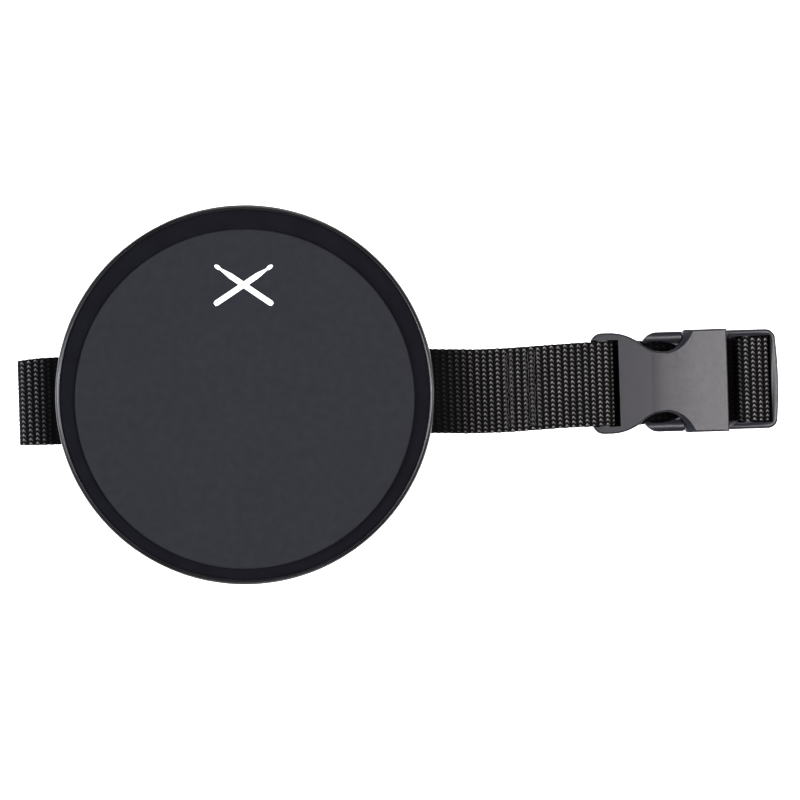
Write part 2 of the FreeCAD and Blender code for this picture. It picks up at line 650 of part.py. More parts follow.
def make_buckle_socket():
    body = buckle_body("buckle_socket")
    # Outline of one side: round ear, hollow flank, tight window end, then the straight mouth.
    slot_half, ear_half, mouth_half = value(SLOT_HALF), value(EAR_HALF), value(MOUTH_HALF)
    drop = d.waist_depth
    waist_half = ear_half - drop
    shoulder = mouth_half - d.shoulder_round
    window_radius = shoulder - waist_half
    waist = d.mouth_start - window_radius
    reach = waist - d.ear_arc_start
    radii = (reach ** 2 + drop ** 2) / (2 * drop)
    ear_radius = radii * d.ear_share
    flank_radius = radii - ear_radius
    slant = math.asin(reach / radii)
    join = (d.ear_arc_start + ear_radius * math.sin(slant),
            ear_half - ear_radius + ear_radius * math.cos(slant))
    ear_edge = ear_half - d.ear_corner
    side = [
        line((0, 0), (0, ear_edge)),
        corner((0, ear_edge), (d.ear_corner, ear_half), (d.ear_corner, ear_edge)),
        line((d.ear_corner, ear_half), (d.ear_arc_start, ear_half)),
        corner((d.ear_arc_start, ear_half), join, (d.ear_arc_start, ear_half - ear_radius)),
        corner(join, (waist, waist_half), (waist, waist_half + flank_radius)),
        corner((waist, waist_half), (d.mouth_start, shoulder), (waist, shoulder)),
        corner((d.mouth_start, shoulder), (d.mouth_start + d.shoulder_round, mouth_half),
               (d.mouth_start + d.shoulder_round, shoulder)),
        line((d.mouth_start + d.shoulder_round, mouth_half), (d.mouth_end, mouth_half)),
        line((d.mouth_end, mouth_half), (d.mouth_end, 0)),
    ]
    outline = sketch_on(body, "socket_outline", "XY_Plane", side + mirrored(side))
    pad(body, outline, "2 * plate_half_thick", symmetric=True)

    # Both faces slope down towards the strap's end.
    slopes = sketch_on(body, "socket_slopes", "XZ_Plane")
    for sign in ("", "-"):
        add_outline(slopes, [
            (f"-{OVERRUN}", f"{sign}(ear_half_thick - {OVERRUN} * {SLOPE})"),
            ("slope_end", f"{sign}plate_half_thick"), ("slope_end", f"{sign}(plate_half_thick + {OVERRUN})"),
            (f"-{OVERRUN}", f"{sign}(plate_half_thick + {OVERRUN})"),
        ])
    sloped = pocket(body, slopes)
    round_edges(body, sloped, "buckle_round", is_face_rim)

    slot = sketch_on(body, "socket_slot", "XY_Plane", box(-OVERRUN, d.slot_end, -slot_half, slot_half))
    pocket(body, slot)
    bar = stadium(d.bar_place, 0, d.bar_half_width, d.bar_half_thick)
    pad(body, sketch_on(body, "socket_bar", "XZ_Plane", bar), BAR_LENGTH, symmetric=True)

    # The space that the plug slides into: mouth, side windows, and a channel for the tongue.
    inner = mouth_half - d.mouth_wall
    outside = mouth_half + OVERRUN
    channel = d.tongue_half + d.channel_gap
    half_cavity = [
        (d.mouth_end + OVERRUN, inner), (d.mouth_start, inner), (d.mouth_start, outside),
        (d.cavity_start, outside), (d.cavity_start, channel), (d.channel_start, channel),
    ]
    cavity = polygon(half_cavity + [(x, -y) for x, y in reversed(half_cavity)])
    space = sketch_on(body, "socket_cavity", "XY_Plane", cavity)
    pocket(body, space, "2 * cavity_half_thick", symmetric=True)


def is_face_rim(edge):
    """True for the edges round the two big faces, not for upright edges or the crease across a face."""
    box = edge.BoundBox
    crosswise = box.XLength < NEAR
    crease = crosswise and box.YLength > d.strap_width / 2 and abs(box.XMin - d.slope_end) < NEAR
    end = crosswise and abs(box.XMin) < NEAR
    return box.ZLength < d.ear_half_thick and not crease and not end


def is_level(edge):
    return edge.BoundBox.ZLength < NEAR


def make_buckle_plug():
    """The plug: a tongue and a crosshead that slide in the mouth, and a frame with a bar for the webbing."""
    body = buckle_body("buckle_plug")
    opening, plug_half = value(SLOT_HALF), value(PLUG_HALF)
    inner_end = d.plug_length - d.end_bar_width
    start = d.mouth_end + d.fit_gap
    neck = value(MOUTH_HALF) - d.mouth_wall - d.fit_gap
    edge = d.plug_length - d.plug_bow
    side = [
        line((start, neck), (start, plug_half)),
        line((start, plug_half), (edge - d.plug_corner, plug_half)),
        corner((edge - d.plug_corner, plug_half), (edge, plug_half - d.plug_corner),
               (edge - d.plug_corner, plug_half - d.plug_corner)),
    ]
    low = plug_half - d.plug_corner
    bow = arc((edge, low), (d.plug_length, 0), (edge, -low))
    joined = [line((start, neck), (start, -neck))]
    frame = sketch_on(body, "plug_frame", "XY_Plane", side + mirrored(side) + [bow] + joined)
    solid = pad(body, frame, "2 * plug_half_thick", symmetric=True)
    round_edges(body, solid, "plug_round", lambda edge: is_level(edge) and edge.BoundBox.XMax > start + NEAR)

    crosshead_end = d.crosshead_start + d.crosshead_length
    head = sketch_on(body, "plug_crosshead", "XY_Plane", box(d.crosshead_start, start + 1, -neck, neck))
    pad(body, head, "2 * (cavity_half_thick - fit_gap)", symmetric=True)
    half_opening = [
        (crosshead_end, opening - d.neck_step), (d.neck_end, opening - d.neck_step),
        (d.neck_end + d.neck_ramp, opening), (inner_end, opening),
    ]
    hole = polygon(half_opening + [(x, -y) for x, y in reversed(half_opening)])
    pocket(body, sketch_on(body, "plug_opening", "XY_Plane", hole))
    bar = stadium(d.plug_bar_place, 0, d.plug_bar_half_width, d.bar_half_thick)
    pad(body, sketch_on(body, "plug_bar", "XZ_Plane", bar), BAR_LENGTH, symmetric=True)

    half_tongue = [
        (d.crosshead_start + 1, d.tongue_half), (d.tongue_start + d.nose_length, d.tongue_half),
        (d.tongue_start, d.tongue_half - d.nose_step),
    ]
    tongue = polygon(half_tongue + [(x, -y) for x, y in reversed(half_tongue)])
    pad(body, sketch_on(body, "plug_tongue", "XY_Plane", tongue), "2 * (cavity_half_thick - fit_gap)",
        symmetric=True)
    seats = sketch_on(body, "arm_seats", "XY_Plane")
    pivot_side = value(MOUTH_HALF) - d.pivot_inset
    for y in (-pivot_side, pivot_side):
        add_circle(seats, "pivot_radius + pivot_gap", d.pivot_place, y)
    pocket(body, seats)


def make_latch_arm(label, side):
    """A latch arm: a round root in the plug's crosshead, a thin stem, and a crescent head with a catch."""
    body = buckle_body(label)
    catch = d.mouth_start - d.catch_gap
    tip = d.cavity_start + d.tip_gap
    half = d.arm_width / 2
    head = value(MOUTH_HALF) - d.arm_inset
    root = math.sqrt(d.pivot_radius ** 2 - half ** 2)
    x, y = d.pivot_place - root, value(MOUTH_HALF) - d.pivot_inset
    stem_out, stem_in = (catch, head - d.catch_depth), (catch - d.stem_step, head - d.stem_depth)
    place = {name: (tip + along, head - inwards) for name, (along, inwards) in CRESCENT.items()}
    shoulder = catch - d.catch_round
    curves = [
        arc(place["tip"], place["outer_middle"], place["crest"]),
        line(place["crest"], (shoulder, head)),
        corner((shoulder, head), (catch, head - d.catch_round), (shoulder, head - d.catch_round)),
        line((catch, head - d.catch_round), stem_out),
        line(stem_out, (x, y + half)),
        arc((x, y + half), (d.pivot_place + d.pivot_radius, y), (x, y - half)),
        line((x, y - half), stem_in),
        arc(stem_in, place["hollow_middle"], place["inner_end"]),
        arc(place["inner_end"], place["nose_middle"], place["tip"]),
    ]
    curves = curves if side > 0 else mirrored(curves)
    sketch = sketch_on(body, f"{label}_outline", "XY_Plane", curves)
    solid = pad(body, sketch, "2 * (cavity_half_thick - fit_gap)", symmetric=True)
    round_edges(body, solid, "arm_round", lambda edge: is_level(edge) and edge.BoundBox.XMax < x - NEAR)


# ---- build, check and write --------------------------------------------------------------------------------

make_strike_disc()
make_foam_underlay()
make_backing_board()
make_rim_tray()
make_base_cradle()
make_cushion("cushion_front", -1)
make_cushion("cushion_back", 1)
make_foot_screws()
make_board_screws()
make_strap()
make_buckle_socket()
make_buckle_plug()
make_latch_arm("latch_arm_back", 1)
make_latch_arm("latch_arm_front", -1)
doc.recompute()

for obj in doc.Objects:
    assert "Invalid" not in obj.State and "Error" not in obj.State, f"{obj.Name} failed: {obj.State}"
for piece in pieces:
    shape = piece.Shape
    assert not shape.isNull() and shape.isValid(), f"{piece.Label} has no valid shape"
    bounds = shape.BoundBox
    print(f"{piece.Label:22s} solids {len(shape.Solids)}  volume {shape.Volume:10.1f}  "
          f"x {bounds.XMin:7.2f} {bounds.XMax:7.2f}  y {bounds.YMin:7.2f} {bounds.YMax:7.2f}  "
          f"z {bounds.ZMin:6.2f} {bounds.ZMax:6.2f}")

os.makedirs("parts", exist_ok=True)
for piece in pieces:
    piece.Shape.exportStep(f"parts/{piece.Label}.step")
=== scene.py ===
import bpy
import bmesh
import math
from mathutils import Matrix, Vector, noise


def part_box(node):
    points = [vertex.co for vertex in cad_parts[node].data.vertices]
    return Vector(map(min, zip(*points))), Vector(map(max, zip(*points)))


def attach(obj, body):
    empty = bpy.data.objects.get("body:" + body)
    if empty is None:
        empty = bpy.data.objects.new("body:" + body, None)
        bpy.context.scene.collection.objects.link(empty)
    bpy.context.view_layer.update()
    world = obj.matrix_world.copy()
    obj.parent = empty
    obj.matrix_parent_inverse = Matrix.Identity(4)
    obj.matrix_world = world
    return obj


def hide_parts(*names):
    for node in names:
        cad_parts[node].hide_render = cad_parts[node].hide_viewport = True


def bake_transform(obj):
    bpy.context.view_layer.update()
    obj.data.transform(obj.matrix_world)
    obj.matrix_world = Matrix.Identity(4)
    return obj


# Knee practice pad with its leg strap. Metres, same frame as the CAD: +Z up, +X towards the buckle.

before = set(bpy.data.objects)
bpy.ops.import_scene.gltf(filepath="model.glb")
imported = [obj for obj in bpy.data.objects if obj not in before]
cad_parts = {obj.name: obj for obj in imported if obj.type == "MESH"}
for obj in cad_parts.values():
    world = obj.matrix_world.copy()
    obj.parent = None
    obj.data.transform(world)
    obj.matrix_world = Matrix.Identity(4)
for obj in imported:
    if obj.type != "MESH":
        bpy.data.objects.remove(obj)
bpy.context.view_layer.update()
mm = 0.001
print("frame loaded:", len(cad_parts), "nodes")


def toLinear(hexColour):
    channels = [int(hexColour[i:i + 2], 16) / 255 for i in (0, 2, 4)]
    return tuple(c / 12.92 if c <= 0.04045 else ((c + 0.055) / 1.055) ** 2.4 for c in channels) + (1.0,)


def smoothStep(value, start, end):
    share = min(1.0, max(0.0, (value - start) / (end - start)))
    return share * share * (3 - 2 * share)


def addNode(tree, kind, settings, links):
    node = tree.nodes.new(kind)
    for name, value in settings.items():
        if isinstance(name, str) and hasattr(node, name):
            setattr(node, name, value)
        else:
            node.inputs[name].default_value = value
    for name, source in links.items():
        tree.links.new(source, node.inputs[name])
    return node


def newMaterial(name, look):
    material = bpy.data.materials.new(name)
    material.use_nodes = True
    shader = material.node_tree.nodes["Principled BSDF"]
    for socket, value in look.items():
        shader.inputs[socket].default_value = value
    return material, material.node_tree, shader


def tintByNoise(tree, shader, position, scale, dark, light):
    cloud = addNode(tree, "ShaderNodeTexNoise", {"Scale": scale, "Detail": 4.0}, {"Vector": position})
    ramp = addNode(tree, "ShaderNodeMapRange", {"From Min": 0.3, "From Max": 0.7},
                   {"Value": cloud.outputs["Fac"]})
    mix = addNode(tree, "ShaderNodeMix", {"data_type": "RGBA", 6: toLinear(dark), 7: toLinear(light)},
                  {0: ramp.outputs["Result"]})
    tree.links.new(mix.outputs[2], shader.inputs["Base Color"])


def roughenByNoise(tree, shader, position, scale, low, high):
    cloud = addNode(tree, "ShaderNodeTexNoise", {"Scale": scale, "Detail": 3.0}, {"Vector": position})
    ramp = addNode(tree, "ShaderNodeMapRange",
                   {"From Min": 0.3, "From Max": 0.7, "To Min": low, "To Max": high},
                   {"Value": cloud.outputs["Fac"]})
    tree.links.new(ramp.outputs["Result"], shader.inputs["Roughness"])


def bumpFrom(tree, shader, height, strength, depth):
    bump = addNode(tree, "ShaderNodeBump", {"Strength": strength, "Distance": depth}, {"Height": height})
    tree.links.new(bump.outputs["Normal"], shader.inputs["Normal"])


def objectPosition(tree):
    return addNode(tree, "ShaderNodeTexCoord", {}, {}).outputs["Object"]


# Silicone rubber, moulded against a fine-blasted steel face: matte, with a fine even grain and no shine.
def makePlayingRubber():
    material, tree, shader = newMaterial("siliconeRubberMoulded", {
        "Roughness": 0.75, "IOR": 1.41, "Specular IOR Level": 0.2})
    where = objectPosition(tree)
    tintByNoise(tree, shader, where, 250.0, "303135", "333438")
    grain = addNode(tree, "ShaderNodeTexNoise", {"Scale": 1800.0, "Detail": 2.0}, {"Vector": where})
    bumpFrom(tree, shader, grain.outputs["Fac"], 0.25, 0.05 * mm)  # 0.5 mm grain
    roughenByNoise(tree, shader, where, 35.0, 0.72, 0.79)
    return material


# Closed-cell EVA foam with its skin on: dull black, with small pinched pores.
def makeFoam():
    material, tree, shader = newMaterial("evaFoamSkinned", {
        "Roughness": 0.85, "IOR": 1.49, "Specular IOR Level": 0.14})
    where = objectPosition(tree)
    tintByNoise(tree, shader, where, 90.0, "1b1b20", "1f1f25")
    pores = addNode(tree, "ShaderNodeTexVoronoi", {"Scale": 1400.0}, {"Vector": where})
    bumpFrom(tree, shader, pores.outputs["Distance"], 0.35, 0.08 * mm)  # 0.7 mm cells
    return material


# ABS, injection moulded against a spark-eroded face: satin black with a fine texture.
def makeTrayPlastic(name, dark, light, rough):
    material, tree, shader = newMaterial(name, {
        "Roughness": rough, "IOR": 1.54, "Specular IOR Level": 0.5})
    where = objectPosition(tree)
    tintByNoise(tree, shader, where, 120.0, dark, light)
    grain = addNode(tree, "ShaderNodeTexNoise", {"Scale": 2600.0, "Detail": 2.0}, {"Vector": where})
    bumpFrom(tree, shader, grain.outputs["Fac"], 0.12, 0.04 * mm)  # 0.4 mm erosion grain
    roughenByNoise(tree, shader, where, 50.0, rough - 0.04, rough + 0.05)
    return material


# Acetal, injection moulded with a fine matt texture: dark grey, with a soft broad sheen.
def makeBucklePlastic():
    material, tree, shader = newMaterial("acetalMouldedMatt", {
        "Roughness": 0.33, "IOR": 1.48, "Specular IOR Level": 0.4})
    where = objectPosition(tree)
    tintByNoise(tree, shader, where, 500.0, "27282d", "2a2a2f")
    grain = addNode(tree, "ShaderNodeTexNoise", {"Scale": 2200.0, "Detail": 3.0}, {"Vector": where})
    bumpFrom(tree, shader, grain.outputs["Fac"], 0.3, 0.05 * mm)  # 0.45 mm matt texture
    roughenByNoise(tree, shader, where, 700.0, 0.31, 0.35)
    return material


weave = {"pitch": 3.05 * mm, "stitch": 2.0 * mm, "slant": 0.68, "peak": 0.43, "drift": 0.16,
         "driftTurn": 2.4, "ribWidth": 0.72}


# Polypropylene multifilament, woven as a ribbed strap: black, with a waxy glint on each raised float that
# is partly real gloss and partly a painted highlight in its colour.
def makeWebbing():
    material, tree, shader = newMaterial("polypropyleneWebbing", {
        "IOR": 1.49, "Specular IOR Level": 0.35})
    along = addNode(tree, "ShaderNodeAttribute", {"attribute_name": "along"}, {}).outputs["Fac"]
    across = addNode(tree, "ShaderNodeAttribute", {"attribute_name": "across"}, {}).outputs["Fac"]
    column = addNode(tree, "ShaderNodeMath", {"operation": "DIVIDE", 1: weave["pitch"]}, {0: along})
    part = addNode(tree, "ShaderNodeMath", {"operation": "FRACT"}, {0: column.outputs[0]})
    fromMiddle = addNode(tree, "ShaderNodeMath", {"operation": "SUBTRACT", 1: 0.5}, {0: part.outputs[0]})
    side = addNode(tree, "ShaderNodeMath", {"operation": "ABSOLUTE"}, {0: fromMiddle.outputs[0]})
    fromPeak = addNode(tree, "ShaderNodeMath", {"operation": "SUBTRACT", 1: weave["peak"]},
                       {0: part.outputs[0]})
    leg = addNode(tree, "ShaderNodeMath", {"operation": "ABSOLUTE"}, {0: fromPeak.outputs[0]})
    lean = addNode(tree, "ShaderNodeMath", {"operation": "MULTIPLY", 1: weave["slant"] * 2},
                   {0: leg.outputs[0]})
    row = addNode(tree, "ShaderNodeMath", {"operation": "DIVIDE", 1: weave["stitch"]}, {0: across})
    leaning = addNode(tree, "ShaderNodeMath", {"operation": "ADD"}, {0: row.outputs[0], 1: lean.outputs[0]})
    # each rib's floats are shifted a little against its neighbours'
    number = addNode(tree, "ShaderNodeMath", {"operation": "FLOOR"}, {0: column.outputs[0]})
    step = addNode(tree, "ShaderNodeMath", {"operation": "MULTIPLY", 1: weave["driftTurn"]},
                   {0: number.outputs[0]})
    swing = addNode(tree, "ShaderNodeMath", {"operation": "SINE"}, {0: step.outputs[0]})
    drift = addNode(tree, "ShaderNodeMath", {"operation": "MULTIPLY", 1: weave["drift"]},
                    {0: swing.outputs[0]})
    phase = addNode(tree, "ShaderNodeMath", {"operation": "ADD"},
                    {0: leaning.outputs[0], 1: drift.outputs[0]})
    turns = addNode(tree, "ShaderNodeMath", {"operation": "MULTIPLY", 1: 2 * math.pi},
                    {0: phase.outputs[0]})
    wave = addNode(tree, "ShaderNodeMath", {"operation": "COSINE"}, {0: turns.outputs[0]})
    bead = addNode(tree, "ShaderNodeMapRange",
                   {"From Min": -0.7, "From Max": 0.8, "interpolation_type": "SMOOTHSTEP"},
                   {"Value": wave.outputs[0]})
    rib = addNode(tree, "ShaderNodeMapRange",
                  {"From Min": 0.36, "From Max": 0.16, "interpolation_type": "SMOOTHSTEP"},
                  {"Value": side.outputs[0]})
    raised = addNode(tree, "ShaderNodeMath", {"operation": "MULTIPLY"},
                     {0: bead.outputs["Result"], 1: rib.outputs["Result"]})
    # filaments, 0.15 mm thick, drawn at 0.3 mm so that they show
    where = objectPosition(tree)
    strands = addNode(tree, "ShaderNodeTexNoise", {"Scale": 3300.0, "Detail": 2.0}, {"Vector": where})
    fuzz = addNode(tree, "ShaderNodeMath", {"operation": "MULTIPLY", 1: 0.35}, {0: strands.outputs["Fac"]})
    height = addNode(tree, "ShaderNodeMath", {"operation": "ADD"},
                     {0: raised.outputs[0], 1: fuzz.outputs[0]})
    wear = addNode(tree, "ShaderNodeTexNoise", {"Scale": 130.0, "Detail": 2.0}, {"Vector": where})
    worn = addNode(tree, "ShaderNodeMapRange",
                   {"From Min": 0.3, "From Max": 0.7, "To Min": 0.7, "To Max": 1.0},
                   {"Value": wear.outputs["Fac"]})
    # painted shade, read from the mesh: the floats' colour is dimmed near the rim and under the buckle
    paintedLightShare = addNode(tree, "ShaderNodeAttribute", {"attribute_name": "paintedLightShare"}, {}).outputs["Fac"]
    # painted highlight: the leg of each float that lies uppermost is painted lighter than the one that
    # dives, as it catches more light
    dive = addNode(tree, "ShaderNodeMapRange",
                   {"From Min": 0.42, "From Max": 0.6, "To Min": 1.0, "To Max": 0.5},
                   {"Value": part.outputs[0]})
    wornAndLitRib = addNode(tree, "ShaderNodeMath", {"operation": "MULTIPLY"},
                      {0: worn.outputs["Result"], 1: dive.outputs["Result"]})
    lit = addNode(tree, "ShaderNodeMath", {"operation": "MULTIPLY"}, {0: wornAndLitRib.outputs[0], 1: paintedLightShare})
    shine = addNode(tree, "ShaderNodeMath", {"operation": "MULTIPLY"},
                    {0: raised.outputs[0], 1: lit.outputs[0]})
    # painted highlight: raised floats are coloured up to grey, the gaps stay near-black
    mix = addNode(tree, "ShaderNodeMix",
                  {"data_type": "RGBA", 6: toLinear("040405"), 7: toLinear("7a7778")},
                  {0: shine.outputs[0]})
    tree.links.new(mix.outputs[2], shader.inputs["Base Color"])
    gloss = addNode(tree, "ShaderNodeMapRange", {"To Min": 0.95, "To Max": 0.42},
                    {"Value": shine.outputs[0]})
    tree.links.new(gloss.outputs["Result"], shader.inputs["Roughness"])
    bumpFrom(tree, shader, height.outputs[0], 0.8, 0.3 * mm)
    return material


# Bonded nylon sewing thread: black, smooth, a little glossier than the webbing.
def makeThread():
    material, tree, shader = newMaterial("bondedNylonThread", {
        "Roughness": 0.42, "IOR": 1.53, "Specular IOR Level": 0.5})
    where = objectPosition(tree)
    tintByNoise(tree, shader, where, 700.0, "0c0c0d", "4c4a4b")
    return material


# Zinc-plated steel: pale grey with a faint warm and cool mottling from the passivation.
def makeScrewSteel():
    material, tree, shader = newMaterial("zincPlatedSteel", {"Metallic": 1.0, "Roughness": 0.32})
    where = objectPosition(tree)
    tintByNoise(tree, shader, where, 900.0, "9b9a95", "b9bcc2")
    roughenByNoise(tree, shader, where, 1500.0, 0.26, 0.42)
    return material


# Hardboard: pressed brown fibre, matte.
def makeHardboard():
    material, tree, shader = newMaterial("hardboardPressed", {"Roughness": 0.75, "Specular IOR Level": 0.3})
    where = objectPosition(tree)
    tintByNoise(tree, shader, where, 1200.0, "4a3523", "6b4f36")
    return material


# White screen ink on rubber: thin, flat, slightly satin.
def makeInk():
    material, tree, shader = newMaterial("screenInkWhite", {
        "Roughness": 0.45, "IOR": 1.5, "Specular IOR Level": 0.4})
    where = objectPosition(tree)
    tintByNoise(tree, shader, where, 800.0, "e4eaed", "eef3f5")
    return material


# Polyester knit laminated to foam: black, soft sheen at grazing angles.
def makeCushionCloth():
    material, tree, shader = newMaterial("knitLaminatedFoam", {
        "Roughness": 0.85, "Specular IOR Level": 0.3, "Sheen Weight": 0.35, "Sheen Roughness": 0.4})
    where = objectPosition(tree)
    tintByNoise(tree, shader, where, 150.0, "131315", "1b1b1e")
    knit = addNode(tree, "ShaderNodeTexVoronoi", {"Scale": 900.0}, {"Vector": where})
    bumpFrom(tree, shader, knit.outputs["Distance"], 0.5, 0.12 * mm)  # 1.1 mm knit cells
    return material


playingRubber = makePlayingRubber()
foamSkin = makeFoam()
trayPlastic = makeTrayPlastic("absMouldedSatin", "131315", "17171a", 0.3)
basePlastic = makeTrayPlastic("absMouldedTextured", "151517", "1a1a1d", 0.5)
bucklePlastic = makeBucklePlastic()
webbingCloth = makeWebbing()
sewingThread = makeThread()
screwSteel = makeScrewSteel()
hardboard = makeHardboard()
screenInk = makeInk()
cushionCloth = makeCushionCloth()
print("materials made")


def finishMesh(bm, name, material, body, smoothAngle=None):
    mesh = bpy.data.meshes.new(name)
    bm.to_mesh(mesh)
    bm.free()
    piece = bpy.data.objects.new(name, mesh)
    bpy.context.collection.objects.link(piece)
    mesh.materials.append(material)
    for polygon in mesh.polygons:
        polygon.use_smooth = True
    if smoothAngle:
        mesh.set_sharp_from_angle(angle=math.radians(smoothAngle))
    if body:
        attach(piece, body)
    return piece


def roundedRoute(points, arcStep):
    # straight runs joined by tangent arcs; a point is (x, z) or (x, z, radius)
    corners = [Vector((p[0], p[1])) for p in points]
    route = [corners[0]]
    for before, here, after, point in zip(corners, corners[1:], corners[2:], points[1:]):
        radius = point[2] if len(point) > 2 else 0
        if radius == 0:
            route.append(here)
            continue
        into, out = (here - before).normalized(), (after - here).normalized()
        angle = into.angle(out)
        turn = 1 if into.x * out.y - into.y * out.x > 0 else -1
        reach = radius * math.tan(angle / 2)
        start = here - into * reach
        centre = start + Vector((-into.y, into.x)) * turn * radius
        steps = max(2, round(radius * angle / arcStep))
        for i in range(steps + 1):
            route.append(centre + Matrix.Rotation(turn * angle * i / steps, 2) @ (start - centre))
    route.append(corners[-1])
    return [p for p, q in zip(route, [None] + route) if q is None or (p - q).length > 1e-7]


def slabProfile(radius, low, high, upperRound, lowerRound):
    # half the section of a flat round sheet, from the middle of its top to the middle of its underside
    middle = radius / 2
    return roundedRoute([
        (0, high), (middle, high), (radius, high, upperRound),
        (radius, low, lowerRound), (middle, low), (0, low),
    ], 0.15 * mm)


def lathe(name, profile, steps, material, body, centre=(0, 0)):
    bm = bmesh.new()
    rail = [bm.verts.new((p.x, 0, p.y)) for p in profile]
    edges = [bm.edges.new(pair) for pair in zip(rail, rail[1:])]
    bmesh.ops.spin(bm, geom=rail + edges, cent=(0, 0, 0), axis=(0, 0, 1), dvec=(0, 0, 0),
                   angle=2 * math.pi, steps=steps, use_merge=True, use_duplicate=False)
    bmesh.ops.remove_doubles(bm, verts=bm.verts, dist=1e-6)
    bmesh.ops.recalc_face_normals(bm, faces=bm.faces)
    bmesh.ops.translate(bm, verts=bm.verts, vec=(centre[0], centre[1], 0))
    return finishMesh(bm, name, material, body, 40)


disc = {"edgeRound": 0.9 * mm, "lowerRound": 0.15 * mm, "steps": 320}
discLow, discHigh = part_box("strike_disc")
discRadius = (discHigh.x - discLow.x) / 2
discCentre = ((discLow.x + discHigh.x) / 2, (discLow.y + discHigh.y) / 2)
discProfile = slabProfile(discRadius, discLow.z, discHigh.z, disc["edgeRound"], disc["lowerRound"])
strikeDisc = lathe("strikeDisc", discProfile, disc["steps"], playingRubber, "pad", discCentre)
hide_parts("strike_disc")
print("playing disc made")

underlay = {"edgeRound": 0.12 * mm, "lowerRound": 0.1 * mm, "squeeze": 0.12 * mm, "steps": 256}
foamLow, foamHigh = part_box("foam_underlay")
foamRadius = (foamHigh.x - foamLow.x) / 2 + underlay["squeeze"]  # pressed against the lip
foamProfile = slabProfile(foamRadius, foamLow.z, foamHigh.z, underlay["edgeRound"], underlay["lowerRound"])
foamUnderlay = lathe("foamUnderlay", foamProfile, underlay["steps"], foamSkin, "pad")
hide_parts("foam_underlay")
print("foam ring made")

tray = {"lipWall": 1.7 * mm, "floor": 2.2 * mm, "bottomRound": 3.5 * mm, "lipRound": 2.0 * mm,
        "lipInnerRound": 0.5 * mm, "lipFall": 0.45 * mm, "bead": 0.5 * mm, "beadFoot": 0.1 * mm,
        "ringHeight": 0.65 * mm, "ringOuter": 72.65 * mm, "ringWall": 1.8 * mm, "steps": 320}
trayLow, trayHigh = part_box("rim_tray")
trayRadius = (trayHigh.x - trayLow.x) / 2
trayBase = trayLow.z + tray["ringHeight"]
lipInner = trayRadius - tray["lipWall"]
beadInner, beadFoot = lipInner - tray["bead"], foamHigh.z + tray["beadFoot"]  # the bead holds the foam
ringInner = tray["ringOuter"] - tray["ringWall"]
rimTray = lathe("rimTray", roundedRoute([
    (0, trayBase), (ringInner, trayBase), (ringInner, trayLow.z), (tray["ringOuter"], trayLow.z),
    (tray["ringOuter"], trayBase), (trayRadius, trayBase, tray["bottomRound"]),
    (trayRadius, trayHigh.z - tray["lipFall"], tray["lipRound"]),
    (beadInner, trayHigh.z, tray["lipInnerRound"]), (beadInner, beadFoot), (lipInner, beadFoot),
    (lipInner, trayBase + tray["floor"]), (0, trayBase + tray["floor"]),
], 0.2 * mm), tray["steps"], trayPlastic, "pad")
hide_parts("rim_tray")
print("rim tray made")


def mergedCopy(node, name, material, body, reshape=None):
    # a welded copy of a CAD piece, so that its round faces shade smoothly
    bm = bmesh.new()
    bm.from_mesh(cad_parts[node].data)
    bmesh.ops.remove_doubles(bm, verts=bm.verts, dist=2e-6)
    bmesh.ops.dissolve_degenerate(bm, dist=1e-6, edges=bm.edges)
    if reshape:
        reshape(bm)
    piece = finishMesh(bm, name, material, body, 30)
    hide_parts(node)
    return piece


for node, material in (
        ("backing_board", hardboard), ("foot_screws", screwSteel), ("board_screws", screwSteel)):
    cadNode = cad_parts[node]
    cadNode.data.materials.clear()
    cadNode.data.materials.append(material)
cradle = mergedCopy("base_cradle", "baseCradle", basePlastic, "pad")

# The strap and the buckle lie at a small angle to X. In the buckle, u runs along the strap from the
# socket's end, v across it and w up from mid-thickness.
strapTurn = Matrix.Rotation(math.radians(1.8), 3, "Z")
buckle = {
    "along": 154.7 * mm, "level": 9.6 * mm, "near": 0.05 * mm,
    # slots: half-width, and half-width at the underside
    "slotHalf": 19.4 * mm, "lowerGap": 18.65 * mm, "wallBelow": -1 * mm, "endBar": 80.5 * mm,
    "endLean": 0.3 * mm, "socketSlot": (-1 * mm, 13 * mm), "plugSlot": (61 * mm, 84 * mm),
    # faces that slope down towards the strap
    "slopeEnd": 40 * mm, "blend": 12 * mm, "thinHalf": 3.4 * mm, "thickHalf": 5.5 * mm, "stations": 2 * mm,
    # side windows and their rounded rims
    "windowPlace": 35.25 * mm, "windowSide": 22.25 * mm, "windowRadius": 8.65 * mm, "rimRound": 0.9 * mm,
    "rimSpread": 3.0 * mm, "rimStep": 0.25 * mm, "rimDrop": 0.9 * mm, "rimReach": 11 * mm,
    "rimSide": 0.9 * mm, "rimBand": 1.8 * mm, "rimSlack": 0.02 * mm, "rimPower": 2.5,
    # how far the windows are drawn back, and where that starts, is full, and ends
    "windowShift": 2.3 * mm, "warpStart": 21 * mm, "warpFull": 34 * mm, "warpHold": 46 * mm,
    "warpEnd": 56 * mm,
    # the rounded heads of the latch arms
    "crownDrop": 0.9 * mm, "crownMiddle": 20.0 * mm, "crownHalf": 2.8 * mm, "crownStep": 0.55 * mm,
    "armHalf": 2.9 * mm, "armCatch": 44 * mm,
}


def leanWalls(bm, fromU, toU):
    # the slot's side walls lean in towards the underside, as moulded
    for vert in bm.verts:
        p = strapTurn.transposed() @ vert.co
        u, v, w = p.x - buckle["along"], p.y, p.z - buckle["level"]
        onWall = fromU < u < toU and abs(abs(v) - buckle["slotHalf"]) < buckle["near"]
        if onWall and w < buckle["wallBelow"]:
            p.y = math.copysign(buckle["lowerGap"], v)
            if abs(u - buckle["endBar"]) < buckle["near"]:
                p.x -= buckle["endLean"]
            vert.co = strapTurn @ p


